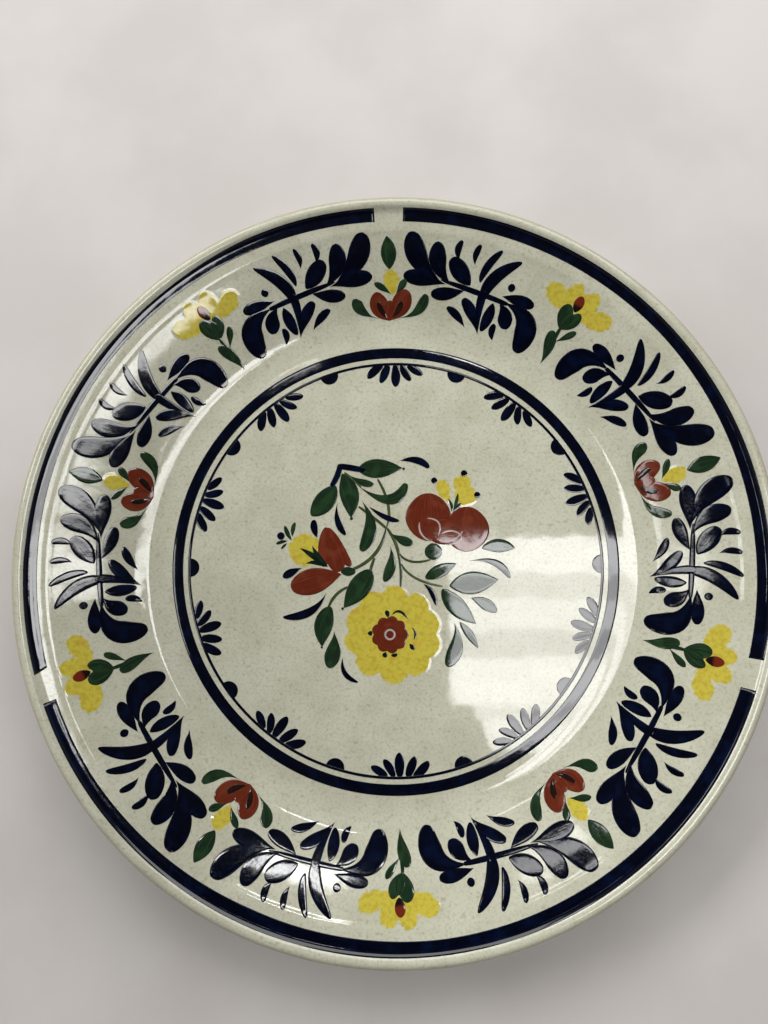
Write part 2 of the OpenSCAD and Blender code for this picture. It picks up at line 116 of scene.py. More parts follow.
def face(rise):
    """The section from the middle to the neck, set rise above the glazed surface."""
    line = np.vstack((
        [(0, floor_z + rise), (20, floor_z + rise), (50, floor_z + rise), (70, floor_z + rise)],
        arc(fillet_c, fillet - rise, -90, -90 + border_tilt, 24),
        arc(crest_c, shoulder + rise, 90 + border_tilt, 90 + edge_tilt, 10),
        arc(neck_c, neck - rise, -90 + edge_tilt, -90 + lip_tilt, 8),
    ))
    if rise > -1:
        radii = np.arange(ridge_r - 3.2, ridge_r + 3.4, 0.4)
        line = np.vstack((line, np.column_stack((radii, np.interp(radii, *line.T)))))
        line = line[np.argsort(line[:, 0])]
        line[:, 1] += ridge * np.exp(-((line[:, 0] - ridge_r) / ridge_w) ** 2)
    return line


def lip(depth):
    return arc(bead_c, bead - depth, 90 + lip_tilt, -90 + lip_tilt, 24)[1:-1]


face_line = face(0)


def glaze_height(radius):
    return np.interp(radius, face_line[:, 0], face_line[:, 1])


print("height of the border's crest, mm:", round(float(glaze_height(crest_r)), 2))


# %% [markdown]
# ## Turning and finishing a piece
# The wheel itself is the spin operator: a line of points turned about the upright axis. Where the line
# ends on the axis its copies meet in one point, so doubles are merged before the faces are turned outwards.

# %% The wheel, and handing over a finished piece
TURN_STEPS = 360


def turned(section):
    """A closed skin of revolution from a line of (radius, height) points in mm."""
    bm = bmesh.new()
    line = [bm.verts.new((r, 0, z)) for r, z in section]
    for a, b in zip(line, line[1:]):
        bm.edges.new((a, b))
    bmesh.ops.spin(bm, geom=bm.verts[:] + bm.edges[:], axis=(0, 0, 1), cent=(0, 0, 0),
                   angle=2 * math.pi, steps=TURN_STEPS, use_merge=True)
    bmesh.ops.remove_doubles(bm, verts=bm.verts, dist=0.001)
    bmesh.ops.recalc_face_normals(bm, faces=bm.faces)
    for each in bm.faces:
        each.smooth = True
    return bm


def finished(bm, name, finish, slot, *nodes):
    """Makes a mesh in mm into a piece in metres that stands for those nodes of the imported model."""
    bmesh.ops.scale(bm, vec=(MM, MM, MM), verts=bm.verts)
    mesh = bpy.data.meshes.new(name)
    bm.to_mesh(mesh)
    bm.free()
    mesh.materials.append(finish)
    piece = bpy.data.objects.new(name, mesh)
    bpy.context.collection.objects.link(piece)
    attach(piece, "root")
    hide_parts(*nodes)
    print(name, len(mesh.polygons), "faces")


# %% [markdown]
# ## Finishes
# Every finish is one glossy fired surface, so they share a family of numbers: the IOR of a soda glaze
# and a low roughness. What differs is the colour and how it was laid on: poured, brushed or sponged.

# %% Colours, and a way to add shader nodes
def srgb(code):
    """A colour written as a hex code, as the linear colour that the shader wants."""
    parts = [int(code[i:i + 2], 16) / 255 for i in (1, 3, 5)]
    linear = [p / 12.92 if p <= 0.04045 else ((p + 0.055) / 1.055) ** 2.4 for p in parts]
    return (*linear, 1.0)


def add(tree, kind, inputs, **settings):
    """Adds a shader node: settings are its own, and inputs are numbers, colours or sockets to link."""
    made = tree.nodes.new("ShaderNode" + kind)
    for name, value in settings.items():
        setattr(made, name, value)
    for name, value in inputs.items():
        if isinstance(value, bpy.types.NodeSocket):
            tree.links.new(value, made.inputs[name])
        else:
            made.inputs[name].default_value = value
    return made


GLAZE_IOR = 1.52


def per_mm(size):
    """The noise scale, in metres, that gives features about size millimetres across."""
    return 1 / (size * MM)


def new_finish(name):
    finish = bpy.data.materials.new(name)
    finish.use_nodes = True
    return finish, finish.node_tree, finish.node_tree.nodes["Principled BSDF"]


def mixed(tree, amount, under, over):
    """One colour over another by an amount from 0 to 1."""
    return add(tree, "Mix", {0: amount, 6: under, 7: over}, data_type="RGBA").outputs[2]


def between(tree, value, low, high, to_low=0.0, to_high=1.0):
    """A value as a share of the way from low to high, eased at both ends."""
    ranged = {"Value": value, "From Min": low, "From Max": high, "To Min": to_low, "To Max": to_high}
    return add(tree, "MapRange", ranged, interpolation_type="SMOOTHSTEP").outputs["Result"]

# %% [markdown]
# ### The glaze
# The body is a grey-buff stoneware. Its glaze is a poured oatmeal gloss, and iron in the clay bleeds
# up through it as fine brown specks. On the edge of the lip the glaze runs thin and breaks to brown.
# Noise can make every layer of that: wide for the clouding, fine for the specks.

# %% Oatmeal gloss
def oatmeal(tree):
    """The glaze's colour, from wide clouding, fine specks and the brown of a thin edge."""
    place = add(tree, "TexCoord", {}).outputs["Object"]
    cloud = add(tree, "TexNoise", {"Vector": place, "Scale": per_mm(12), "Detail": 3.0}).outputs["Fac"]
    ground = mixed(tree, between(tree, cloud, 0.3, 0.7), srgb("#c6c6b3"), srgb("#bcbba6"))
    grain = add(tree, "TexNoise", {"Vector": place, "Scale": per_mm(0.9), "Detail": 2.0}).outputs["Fac"]
    ground = mixed(tree, between(tree, grain, 0.44, 0.7, 0.0, 0.3), ground, srgb("#988f75"))
    specks = add(tree, "TexNoise", {"Vector": place, "Scale": per_mm(1.7), "Detail": 1.0}).outputs["Fac"]
    ground = mixed(tree, between(tree, specks, 0.62, 0.72, 0.0, 0.26), ground, srgb("#7c7156"))
    outwards = add(tree, "VectorMath", {0: place, 1: (1.0, 1.0, 0.0)}, operation="MULTIPLY").outputs[0]
    radius = add(tree, "VectorMath", {0: outwards}, operation="LENGTH").outputs["Value"]
    thin = between(tree, radius, (rim_r - 2.4) * MM, (rim_r - 0.6) * MM, 0.0, 0.5)
    return place, mixed(tree, thin, ground, srgb("#978a6c"))


def fired_gloss(tree, shader, place):
    """The shared surface: a mirror gloss, slightly orange peeled over the slow ripple of a pour."""
    pits = add(tree, "TexNoise", {"Vector": place, "Scale": per_mm(1.1), "Detail": 2.0}).outputs["Fac"]
    tree.links.new(between(tree, pits, 0.3, 0.7, 0.035, 0.06), shader.inputs["Roughness"])
    ripple = add(tree, "TexNoise", {"Vector": place, "Scale": per_mm(8), "Detail": 1.0}).outputs["Fac"]
    wave = add(tree, "Bump", {"Height": ripple, "Distance": 0.035 * MM, "Strength": 1.0})
    peel = add(tree, "Bump", {"Height": pits, "Distance": 0.003 * MM, "Normal": wave.outputs[0]})
    return peel.outputs[0]


oatmeal_gloss, tree, shader = new_finish("oatmeal_gloss_glaze")
place, colour = oatmeal(tree)
tree.links.new(colour, shader.inputs["Base Color"])
tree.links.new(fired_gloss(tree, shader, place), shader.inputs["Normal"])
shader.inputs["IOR"].default_value = GLAZE_IOR
print("finish:", oatmeal_gloss.name)

# %% [markdown]
# ### The bare clay
# The foot is wiped clean before firing so that it doesn't stick to the kiln shelf. Bare stoneware is
# matt, a warm buff, and a little sandy, with the same iron specks.

# %% Bare stoneware
bare_clay, tree, shader = new_finish("bare_fired_stoneware")
place = add(tree, "TexCoord", {}).outputs["Object"]
sand = add(tree, "TexNoise", {"Vector": place, "Scale": per_mm(0.9), "Detail": 4.0}).outputs["Fac"]
iron = add(tree, "TexNoise", {"Vector": place, "Scale": per_mm(1.8), "Detail": 1.0}).outputs["Fac"]
clay = mixed(tree, between(tree, sand, 0.35, 0.65), srgb("#b09a7c"), srgb("#9a8466"))
clay = mixed(tree, between(tree, iron, 0.62, 0.7, 0.0, 0.7), clay, srgb("#5d4a37"))
tree.links.new(clay, shader.inputs["Base Color"])
tree.links.new(between(tree, sand, 0.3, 0.7, 0.7, 0.92), shader.inputs["Roughness"])
grit = add(tree, "Bump", {"Height": sand, "Distance": 0.05 * MM})
tree.links.new(grit.outputs[0], shader.inputs["Normal"])
print("finish:", bare_clay.name)

# %% [markdown]
# ### Brushed colours
# Each colour is an oxide in a glassy flux: cobalt for the navy, iron for the brick and brown, copper
# and chrome for the greens. A loaded brush leaves the full colour, and hairs that run dry leave
# lighter streaks along the stroke. Each sheet carries a map of its strokes in mm, along and across,
# so noise stretched along the stroke draws those streaks, and a measure of how far the edge is.

# %% Brushed finishes
def brushed_finish(name, full, dry, edge, streak, patchy=0.35, tip=None):
    """A brushed colour: full where the brush was loaded, dry in the streaks, and its own edge tone."""
    finish, tree, shader = new_finish(name)
    place = add(tree, "TexCoord", {}).outputs["Object"]
    stroke_map = add(tree, "UVMap", {}, uv_map="stroke").outputs["UV"]
    hairs = add(tree, "Mapping", {"Vector": stroke_map, "Scale": (0.1, 2.2, 1.0)}).outputs[0]
    lines = add(tree, "TexNoise", {"Vector": hairs, "Scale": 1.0, "Detail": 3.0}).outputs["Fac"]
    wash = add(tree, "TexNoise", {"Vector": stroke_map, "Scale": 0.2, "Detail": 1.0}).outputs["Fac"]
    colour = mixed(tree, between(tree, lines, 0.48, 0.72, 0.0, streak), srgb(full), srgb(dry))
    colour = mixed(tree, between(tree, wash, 0.5, 0.7, 0.0, patchy), colour, srgb(dry))
    from_edge = add(tree, "Attribute", {}, attribute_name="edge_mm").outputs["Fac"]
    colour = mixed(tree, between(tree, from_edge, 0.35, 0.0, 0.0, 0.5), colour, srgb(edge))
    if tip:
        share = add(tree, "Attribute", {}, attribute_name="share").outputs["Fac"]
        colour = mixed(tree, between(tree, share, 0.3, 0.55), colour, srgb(tip))
    tree.links.new(colour, shader.inputs["Base Color"])
    relief = fired_gloss(tree, shader, place)
    ridges = add(tree, "Bump", {"Height": lines, "Distance": 0.002 * MM, "Normal": relief})
    tree.links.new(ridges.outputs[0], shader.inputs["Normal"])
    shader.inputs["IOR"].default_value = GLAZE_IOR
    print("finish:", name)
    return finish


cobalt = brushed_finish("brushed_cobalt_gloss", "#020411", "#081432", "#03061a", 0.3, 0.4)
brick = brushed_finish("brushed_iron_red_gloss", "#5e2414", "#7d3f2a", "#40180d", 0.5)
brown = brushed_finish("brushed_manganese_gloss", "#1f110d", "#382018", "#160c09", 0.5)
dipped = brushed_finish("brushed_dipped_heart_gloss", "#160f0d", "#2c1812", "#140c09", 0.4, tip="#6a2615")
# The pale grey-mauve here is a painted highlight. The scrolls and the heart's ring are raised dark lines,
# and this colour stands in for the light they catch.
raised_line_painted_highlight = brushed_finish("brushed_raised_line_painted_highlight_gloss", "#a89a96", "#b8aca6", "#94827c", 0.5)
green = brushed_finish("brushed_copper_green_gloss", "#182a1b", "#304c2c", "#101e13", 0.7)
olive = brushed_finish("brushed_olive_gloss", "#3c452a", "#5c683e", "#2b3319", 0.6)
black_green = brushed_finish("brushed_black_green_gloss", "#0c1810", "#1f3624", "#080f0a", 0.4)

# %% [markdown]
# ### Sponged yellow
# The yellow was dabbed on, so it has no brush edge: it fades into the glaze over about a millimetre.
# A sharp sheet can't show that. So a yellow sheet is wider than its flower, wears the same oatmeal
# gloss, and carries a number at each point, its dye, that says how much yellow the sponge left.

# %% Sponged yellow gloss
sponged_yellow, tree, shader = new_finish("sponged_antimony_yellow_gloss")
place, ground = oatmeal(tree)
dye = add(tree, "Attribute", {}, attribute_name="dye").outputs["Fac"]
dabs = add(tree, "TexNoise", {"Vector": place, "Scale": per_mm(1.3), "Detail": 2.0}).outputs["Fac"]
patches = add(tree, "TexNoise", {"Vector": place, "Scale": per_mm(5), "Detail": 1.0}).outputs["Fac"]
yellow = mixed(tree, between(tree, dabs, 0.4, 0.7), srgb("#c3b33a"), srgb("#b2a12a"))
yellow = mixed(tree, between(tree, patches, 0.58, 0.76, 0.0, 0.4), yellow, srgb("#bc8c2a"))
frayed = between(tree, dabs, 0.3, 0.7, -0.22, 0.22)
ragged = add(tree, "Math", {0: dye, 1: frayed}, operation="ADD").outputs[0]
colour = mixed(tree, between(tree, ragged, 0.2, 0.8, 0.0, 0.95), ground, yellow)
tree.links.new(colour, shader.inputs["Base Color"])
tree.links.new(fired_gloss(tree, shader, place), shader.inputs["Normal"])
shader.inputs["IOR"].default_value = GLAZE_IOR
print("finish:", sponged_yellow.name)

# %% [markdown]
# ## The pot itself
# The clay body fills the glaze from inside, and only its foot shows. The glaze is a coat with a
# thickness of its own, closed round the lip, that stops in a soft roll at the foot. Both are turned
# from the section. A second, flat coat lies inside the foot ring.

# %% The clay and its foot
foot_r = 74.0
foot_w = 7.0
foot_round = 1.2
foot_top = floor_z - wall + glaze_depth
tight = glaze_depth + 0.02

core = np.vstack((face(-tight), lip(tight), face(tight - wall)[::-1]))
finished(turned(core), "turned_body", bare_clay, "stoneware", "stoneware_body")

foot_in = foot_r - foot_w
foot = np.vstack((
    [(foot_in, foot_top)],
    arc(np.array((foot_in + foot_round, foot_round)), foot_round, 180, 270, 6),
    arc(np.array((foot_r - foot_round, foot_round)), foot_round, 270, 360, 6),
    [(foot_r, foot_top), (foot_in, foot_top)],
))
finished(turned(foot), "turned_foot_ring", bare_clay, "stoneware", "foot_ring")

# %% The glaze
under = face(-wall)[::-1]
under = under[under[:, 0] > foot_r]
inner_under = face(glaze_depth - wall)
inner_under = inner_under[inner_under[:, 0] > foot_r]
roll = arc(np.array((foot_r + 0.5, floor_z - wall + 0.25)), 0.25, 270, 180, 4)
coat = np.vstack((
    face(0), lip(0), under, roll, [(foot_r + 0.25, foot_top)],
    inner_under, lip(glaze_depth)[::-1], face(-glaze_depth)[::-1],
))
bm = turned(coat)
low = floor_z - wall
soft_edge = [(foot_in - 0.6, low), (foot_in - 0.3, low + 0.1), (foot_in - 0.2, foot_top)]
disc = [(0, low)] + soft_edge + [(0, foot_top)]
inside = turned(disc)
scrap = bpy.data.meshes.new("inside_the_foot")
inside.to_mesh(scrap)
inside.free()
bm.from_mesh(scrap)
bpy.data.meshes.remove(scrap)
finished(bm, "poured_glaze", oatmeal_gloss, "speckled_glaze", "glaze_coat")

# %% [markdown]
# ## The brush
# A brush stroke has a spine, which bends once, and a width that swells and dies away along it. So a
# stroke is written as start, middle, end, width and kind. The kind says where along the stroke it is
# widest, and how blunt its start and end are: 0.15 is square, 0.5 round, and 1 a long point. A grid
# is stretched over each stroke, because a grid keeps the along and across that the streaks need.

# %% Kinds of stroke
ROD = (0.5, 0.15, 0.15)
OVAL = (0.5, 0.5, 0.5)
LEAF = (0.5, 0.75, 0.8)
DROP = (0.66, 0.9, 0.5)
PETAL = (0.6, 0.6, 0.5)
COMMA = (0.42, 0.5, 0.75)
SCROLL = (0.5, 0.3, 0.3)
BUD = (0.55, 0.25, 0.5)


def dot(x, y, radius):
    """A touch of the brush's tip, as a stroke."""
    return ((x - radius, y), (x, y), (x + radius, y), 2 * radius, OVAL)


def stroke_sheet(stroke):
    """The place, edge distance and run in mm, for any share t along a stroke and side across it."""
    start, middle, end = (np.array(p, float) for p in stroke[:3])
    width, (fat, blunt_start, blunt_end) = stroke[3:]
    pull = 2 * middle - (start + end) / 2

    def sheet(t, side):
        t = np.asarray(t)[:, None]
        spine = (1 - t) ** 2 * start + 2 * t * (1 - t) * pull + t ** 2 * end
        ahead = (1 - t) * (pull - start) + t * (end - pull)
        across = np.column_stack((-ahead[:, 1], ahead[:, 0])) / np.linalg.norm(ahead, axis=1)[:, None]
        t = t[:, 0]
        swell = np.sin(np.pi * t ** (math.log(0.5) / math.log(fat))).clip(0, 1)
        half = width / 2 * swell ** (blunt_start + (blunt_end - blunt_start) * t)
        edge = half * (1 - np.abs(side))
        run = np.linalg.norm(end - start) * t
        return spine + (side * half)[:, None] * across, edge, run, side * width / 2

    return sheet


# %% [markdown]
# A sheet of colour has a soft shoulder where it meets the glaze. It is laid flat, closed with a copy
# of itself sunk under the glaze, and only then draped, by raising every point to the glaze below it.

# %% Laying and draping colour
SHOULDER = 0.5   # how far in from its edge a sheet reaches its full thickness
SINK = 0.05      # how deep its underside lies in the glaze
EVEN_FROM = 60   # a sheet with this many steps along it has them evenly spaced
APART = (40, 7)  # how far apart the maps of two sheets lie, so that their streaks differ


def new_sheets():
    bm = bmesh.new()
    bm.loops.layers.uv.new("stroke")
    bm.verts.layers.float.new("edge_mm")
    bm.verts.layers.float.new("share")
    return bm


def lay(bm, sheet, base, rise, along=26, across=8, tag=0):
    """Adds one sheet of colour to bm, from base to base + rise thick."""
    made = bmesh.ops.create_grid(bm, x_segments=along, y_segments=across, size=1.0)["verts"]
    grid = np.array([v.co[:2] for v in made]) / 2 + 0.5
    t = (1 - np.cos(np.pi * grid[:, 0])) / 2 if along < EVEN_FROM else grid[:, 0]
    side = np.sin(np.pi * (grid[:, 1] - 0.5))
    spot, edge, run, off = sheet(t, side)
    full = (edge / SHOULDER).clip(0, 1)
    z = base + rise * full * (2 - full)
    edge_layer = bm.verts.layers.float["edge_mm"]
    share_layer = bm.verts.layers.float["share"]
    uv_layer = bm.loops.layers.uv["stroke"]
    mapped = {}
    for i, vert in enumerate(made):
        vert.co = (spot[i, 0], spot[i, 1], z[i])
        vert[edge_layer] = edge[i]
        vert[share_layer] = t[i]
        mapped[vert] = (run[i] + APART[0] * tag, off[i] + APART[1] * tag)
    for each in {f for v in made for f in v.link_faces}:
        each.smooth = True
        for loop in each.loops:
            loop[uv_layer].uv = mapped[loop.vert]
    return made


def drape(bm):
    """Closes flat sheets with a sunk underside, and drops them on to the glaze."""
    bmesh.ops.remove_doubles(bm, verts=bm.verts, dist=0.001)
    made = bmesh.ops.extrude_face_region(bm, geom=bm.faces[:], use_keep_orig=True)["geom"]
    for each in made:
        if isinstance(each, bmesh.types.BMVert):
            each.co.z = -SINK
        elif isinstance(each, bmesh.types.BMFace):
            each.smooth = False
    for vert in bm.verts:
        vert.co.z += glaze_height(math.hypot(vert.co.x, vert.co.y))
    bmesh.ops.recalc_face_normals(bm, faces=bm.faces)


# %% Painting a motif, once or several times round the plate
STEP_UP = 0.002  # each later stroke lies this much higher than the one before it


def spot_at(angle, radius, twist=0.0):
    """Turns a motif drawn about a radius, with y outwards, to its place on the plate."""
    turn = Matrix.Rotation(math.radians(angle - 90), 4, "Z")
    return turn @ Matrix.Translation((0, radius, 0)) @ Matrix.Rotation(math.radians(twist), 4, "Z")


def painted(places, radius):
    """A painter's repeat: each place is (angle, shift outwards, twist), because no two fall alike."""
    return [spot_at(angle, radius + shift, twist) for angle, shift, twist in places]


IN_THE_WELL = [Matrix.Identity(4)]


def brushed(node, finish, slot, sheets, base, rise=0.03, spots=IN_THE_WELL, **fineness):
    """Paints sheets of colour at each spot and drapes them as one piece."""
    bm = new_sheets()
    tag = 0
    for spot in spots:
        laid = []
        for i, sheet in enumerate(sheets):
            laid += lay(bm, sheet, base + STEP_UP * i, rise, tag=tag, **fineness)
            tag += 1
        bmesh.ops.transform(bm, matrix=spot, verts=laid)
    drape(bm)
    finished(bm, "brushed_" + node, finish, slot, node)


def strokes(*lists):
    return [stroke_sheet(each) for some in lists for each in some]

# %% [markdown]
# ## Rings and the rim band
# The rings were banded on a wheel: the brush is held still and the plate turns. So a ring is a sheet
# swept round the middle. The rim band was not quite steady. Its edges wander by up to half a
# millimetre, and it was drawn in three sweeps that stop short of each other, with slanted ends.

# %% Swept bands
def swept_band(radius, width, start, sweep, wander=None, slant=(0.0, 0.0), centre=(0, 0)):
    """A band about centre. wander gives how far its inner and outer edges stray at an angle."""
    def sheet(t, side):
        lean = slant[0] * (1 - t) ** 8 + slant[1] * t ** 8
        angle = start + sweep * t + np.degrees(lean * side / radius)
        inner, outer = wander(angle) if wander else (0 * t, 0 * t)
        share = (side + 1) / 2
        r = (radius - width / 2 + inner) * (1 - share) + (radius + width / 2 + outer) * share
        edge = width / 2 * (1 - np.abs(side))
        if sweep < 360:
            edge = np.minimum(edge, np.radians(sweep) * radius * np.minimum(t, 1 - t))
        turn = np.radians(angle)
        spot = np.column_stack((centre[0] + r * np.cos(turn), centre[1] + r * np.sin(turn)))
        return spot, edge, np.radians(sweep) * radius * t, side * width / 2

    return sheet


band_r = 127.6
band_w = 4.2
sweeps = [(93.4, 103.5), (201.7, 138.7), (345.1, 103.6)]
band_stray = [
    (0, -0.1), (40, 0.4), (90, -0.3), (150, 0.6), (190, 0.0),
    (215, 0.4), (247, -0.7), (277, -0.2), (310, -0.6), (360, -0.1),
]


def band_wander(angle):
    """How far the hand strayed: the inner edge by feel, and the outer one thin near 130 degrees."""
    inner = np.interp(angle % 360, *zip(*band_stray))
    outer = -0.6 * np.exp(-((angle % 360 - 130) / 14) ** 2) + 0.08 * np.sin(np.radians(angle * 7))
    return inner, outer


slants = [(0.0, 0.7), (0.0, 0.2), (0.2, 0.0)]
bands = [swept_band(band_r, band_w, a, b, band_wander, s) for (a, b), s in zip(sweeps, slants)]
brushed("rim_band", cobalt, "navy_paint", bands, 0.05, along=260, across=8)

# %% The ring at the well's edge, and the thin ring inside it
well_ring = swept_band(80.15, 4.0, 0, 360)
brushed("well_ring", cobalt, "navy_paint", [well_ring], 0.05, along=360, across=8)
thin_r = 75.9
thin_ring = swept_band(thin_r, 1.0, 0, 360)
brushed("thin_ring", cobalt, "navy_paint", [thin_ring], 0.09, along=360, across=4)

# %% [markdown]
# Inside the thin ring hang ten half daisies and ten half dots. They were painted whole strokes that
# start at the ring, so they lie under it.

# %% Half daisies and half dots
daisy = [
    ((-5.6, 2.6), (-8.4, 0.3), (-11, -2.8), 3.3, BUD),
    ((-3.4, 2.6), (-4.6, -0.6), (-6.2, -4.5), 3.2, BUD),
    ((-0.6, 2.6), (-0.5, -1.6), (-0.5, -5.9), 3.5, BUD),
    ((1.6, 2.6), (3, -0.5), (5.2, -3.5), 2.9, BUD),
    ((4, 2.4), (6.6, 0.6), (9.7, -1.2), 2.9, BUD),
]
daisy_angles = [89.4, 53.1, 19.3, 341.6, 306.4, 270.7, 234.1, 198, 161, 126.2]
half_dot_angles = [71.5, 35, 359.6, 323.8, 288.2, 252.6, 216.2, 180, 143.4, 108.5]
daisy_spots = [spot_at(angle, 73) for angle in daisy_angles]
brushed("half_daisies", cobalt, "navy_paint", strokes(daisy), 0.04, spots=daisy_spots)


def half_disc(radius):
    """The half of a dot that lies towards the middle of the plate."""
    def sheet(t, side):
        x = radius * (2 * t - 1)
        depth = np.sqrt(np.maximum(radius ** 2 - x ** 2, 0))
        y = -depth * (1 - side) / 2
        return np.column_stack((x, y)), depth * (1 + side) / 2, x, y

    return sheet


dot_spots = [spot_at(angle + 0.7, thin_r - 0.3) for angle in half_dot_angles]
brushed("half_dots", cobalt, "navy_paint", [half_disc(3.4)], 0.04, spots=dot_spots)

# %% [markdown]
# ## The ten blue sprays
# Each spray is a stem with long teardrop leaves that all press down from the tip and lift off at the
# stem. Odd sprays grow one way round the border and even ones are their mirror image, so every pair
# faces a flower.

# %% One spray
spray = [
    ((-15, -2), (-3, -0.7), (11.5, 0.2), 1.9, (0.5, 0.15, 0.4)),
    ((-13, -1.6), (-23.2, -6.5), (-22.5, -17), 8, (0.66, 0.75, 0.4)),
    ((-12.2, 0.2), (-19, 0), (-24.5, -0.8), 4.2, (0.6, 0.75, 0.45)),
    ((-11.5, -1.8), (-15, -5.5), (-16.2, -10.3), 5.4, (0.66, 0.9, 0.4)),
    ((-9.7, -2.7), (-9.3, -7.6), (-8, -12.8), 4.1, (0.5, 0.7, 0.5)),
    ((-12.6, -9.4), (-12.1, -12), (-13.3, -14.9), 2.5, COMMA),
    ((-5.4, -2.5), (-7.8, 5.4), (-15.9, 12.3), 4.6, (0.45, 0.5, 0.5)),
    ((-5.3, 0.5), (-5.3, -6), (-7.2, -14.3), 3.2, (0.2, 0.5, 0.75)),
    ((-7.2, -14.3), (-3.6, -8.4), (1.7, -3.9), 4.2, (0.66, 0.85, 0.4)),
    ((-1.9, -13.1), (2, -9.9), (6.6, -8), 2.9, (0.62, 0.85, 0.45)),
    ((2, -1.2), (8, -3.7), (13.7, -5), 4.5, (0.6, 0.7, 0.4)),
    ((-2.9, 2.8), (-4.1, 8.6), (-7.9, 14.4), 2.9, (0.52, 0.5, 0.4)),
    ((0.5, 7.7), (1.3, 11), (0.3, 14.5), 2.3, (0.62, 0.8, 0.35)),
    ((6.8, 8.2), (8.1, 11.2), (7.2, 14.2), 2.5, (0.55, 0.7, 0.35)),
    ((0.3, 1), (5, 4.4), (9.7, 7.9), 6.3, (0.56, 0.6, 0.4)),
    ((7, -0.5), (13.6, 4.6), (15.2, 11.9), 6.5, (0.66, 0.8, 0.4)),
    ((10, -1), (20.8, 4.3), (25.9, 12.6), 7.8, (0.68, 0.7, 0.4)),
    ((9, -0.8), (17.5, -1), (25.3, -2), 5.4, (0.65, 0.8, 0.45)),
]
spray.append(dot(-14.7, 3.6, 1.35))
print("strokes in a spray:", len(spray))

# %% Ten sprays round the border
spray_r = 107
odd_places = [(108.1, -0.2, 0), (180, 0.2, -0.2), (252.1, 0.2, -0.6), (323.9, -0.2, 0.1), (34.8, 0, 0.7)]
even_places = [(71.6, -0.5, 0.5), (144.5, 0.3, -0.2), (216.4, 0.4, -0.9), (287.8, -0.1, 0.4)]
even_places.append((358.6, -0.1, 0.2))
mirrored = Matrix.Scale(-1, 4, (1, 0, 0)) @ Matrix.Rotation(math.radians(-2), 4, "Z")
mirrored = mirrored @ Matrix.Translation((5.8, 0, 0))
for turn in range(5):
    odd = painted([odd_places[turn]], spray_r)
    even = [place @ mirrored for place in painted([even_places[turn]], spray_r)]
    brushed(f"blue_spray_{2 * turn + 1}", cobalt, "navy_paint", strokes(spray), 0.05, spots=odd)
    brushed(f"blue_spray_{2 * turn + 2}", cobalt, "navy_paint", strokes(spray), 0.05, spots=even)

# %% [markdown]
# ## Sponged flowers
# A sponged sheet starts as a grid over its flower. The distance from each point to the flower's
# outline says how much dye is left there, and points well outside it are deleted. The sheet's rim
# dips just under the glaze, so that the sheet has no visible border of its own.

# %% Distance to an outline
def outline_of(sheet, steps=40):
    """The closed edge of a sheet, as points in mm."""
    t = (1 - np.cos(np.pi * np.linspace(0, 1, steps))) / 2
    there = sheet(t, np.ones(steps))[0]
    back = sheet(t[::-1], -np.ones(steps))[0]
    return np.vstack((there, back[1:-1]))


def signed_distance(points, outline):
    """How far each point is from an outline: negative inside it."""
    a, b = outline, np.roll(outline, -1, axis=0)
    ab = b - a
    length = (ab ** 2).sum(1).clip(1e-12)
    ap = points[:, None, :] - a[None, :, :]
    share = ((ap * ab).sum(2) / length).clip(0, 1)
    gap = np.sqrt(((ap - share[:, :, None] * ab) ** 2).sum(2)).min(1)
    above_a = a[:, 1] > points[:, 1:2]
    above_b = b[:, 1] > points[:, 1:2]
    rise = np.where(np.abs(ab[:, 1]) < 1e-12, 1e-12, ab[:, 1])
    crossing = a[:, 0] + (points[:, 1:2] - a[:, 1]) * ab[:, 0] / rise
    crossed = (above_a != above_b) & (points[:, 0:1] < crossing)
    return np.where(crossed.sum(1) % 2 == 1, -gap, gap)


# %% Sponging
FADE = 0.8        # mm over which the yellow fades out
MARGIN = 1.6      # mm of clear sheet kept outside the flower
DAB = 0.4         # mm between the points of the grid
DIP = 0.03        # how far the sheet's rim lies under the glaze
FRAY = 0.45       # mm by which the sponge's edge wanders


def sponged(node, slot, sheets, spots=IN_THE_WELL, base=0.05):
    """Lays a soft-edged patch over the union of some sheets at each spot."""
    outlines = [outline_of(each) for each in sheets]
    low = np.min([o.min(0) for o in outlines], axis=0) - MARGIN
    high = np.max([o.max(0) for o in outlines], axis=0) + MARGIN
    cells = [math.ceil(extent / DAB) for extent in high - low]
    bm = new_sheets()
    dye_layer = bm.verts.layers.float.new("dye")
    for spot in spots:
        made = bmesh.ops.create_grid(bm, x_segments=cells[0], y_segments=cells[1], size=1.0)["verts"]
        share = np.array([v.co[:2] for v in made]) / 2 + 0.5
        points = low + share * (high - low)
        gap = np.min([signed_distance(points, o) for o in outlines], axis=0)
        ragged = [noise.noise(Vector((*(p * 0.7), spot.translation.x))) for p in points]
        gap_dye = gap + FRAY * np.array(ragged)
        dye = ((FADE - gap_dye) / (2 * FADE)).clip(0, 1)
        dye = dye * dye * (3 - 2 * dye)
        lift = ((MARGIN - gap) / (MARGIN + 0.5)).clip(0, 1)
        z = (base + DIP) * lift ** 2 * (3 - 2 * lift) - DIP
        outside = []
        for i, vert in enumerate(made):
            vert.co = (points[i, 0], points[i, 1], z[i])
            vert[dye_layer] = dye[i]
            if gap[i] > MARGIN:
                outside.append(vert)
        kept = [v for i, v in enumerate(made) if gap[i] <= MARGIN]
        bmesh.ops.delete(bm, geom=outside, context="VERTS")
        for each in {f for v in kept for f in v.link_faces}:
            each.smooth = True
        bmesh.ops.transform(bm, matrix=spot, verts=kept)
    drape(bm)
    finished(bm, "sponged_" + node, sponged_yellow, slot, node)


# %% [markdown]
# ## Tulips
# Five tulips sit on the border between the sprays: a brick red heart in two petals, a yellow bud in
# its mouth, two short sepals, a long leaf above and a curled leaf on each side. Dark veins go last.

